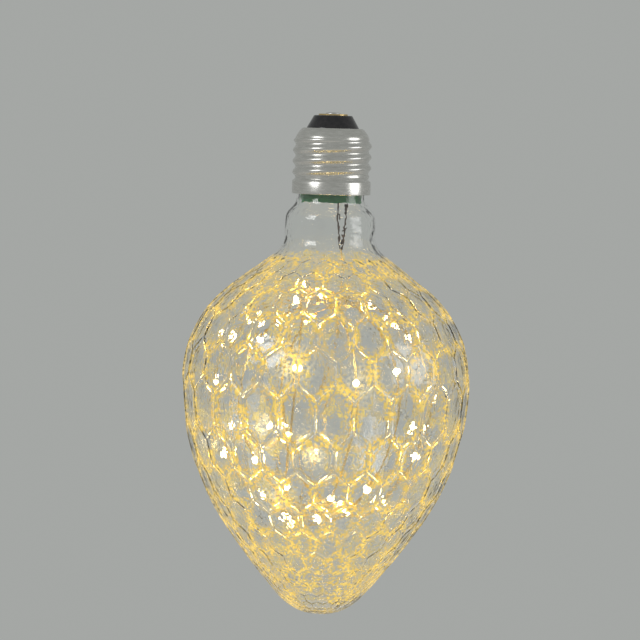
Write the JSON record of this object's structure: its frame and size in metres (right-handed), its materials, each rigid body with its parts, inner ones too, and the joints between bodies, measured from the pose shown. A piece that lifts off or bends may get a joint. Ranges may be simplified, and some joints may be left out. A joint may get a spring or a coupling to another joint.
{
  "type": "decorative led bulb",
  "caption": "Clear strawberry-shaped glass bulb with honeycomb relief and an E27 screw cap, holding a loosely wound string of small LEDs on copper strands.",
  "frame": {"origin": "middle of the flat top of the solder on the centre contact", "axes": "+Z along the bulb's axis out of the cap, as the bulb hangs cap up; -Y is the side that the picture shows"},
  "size_m": [0.0956, 0.0956, 0.1677],
  "materials": {
    "clear_glass": "polished",
    "plated_shell": "satin",
    "black_insulator": "glossy",
    "contact_brass": "satin",
    "solder": "satin",
    "neck_cement": "matt",
    "board_laminate": "satin",
    "resistor_coat": "matt",
    "capacitor_sleeve": "glossy",
    "ferrite": "matt",
    "copper_wire": "glossy",
    "chip_moulding": "matt",
    "lead_insulation": "satin",
    "led_chip": "glossy",
    "clear_resin": "glossy"
  },
  "bodies": {
    "root": {"glass_envelope": "clear_glass", "screw_shell": "plated_shell", "cap_insulator": "black_insulator", "centre_contact": "contact_brass", "contact_solder": "solder", "shell_solder": "solder", "neck_cement": "neck_cement", "driver_board": "board_laminate", "fusible_resistor": "resistor_coat", "smoothing_capacitor": "capacitor_sleeve", "choke_core": "ferrite", "choke_winding": "copper_wire", "bridge_rectifier": "chip_moulding", "driver_chip": "chip_moulding", "sense_resistor": "chip_moulding", "neutral_lead": "lead_insulation", "string_lead_positive": "lead_insulation", "string_lead_negative": "lead_insulation", "string_strand_positive": "copper_wire", "string_strand_negative": "copper_wire", "led_chips": "led_chip", "resin_beads": "clear_resin", "string_end": "clear_resin"}
  },
  "joints": []
}
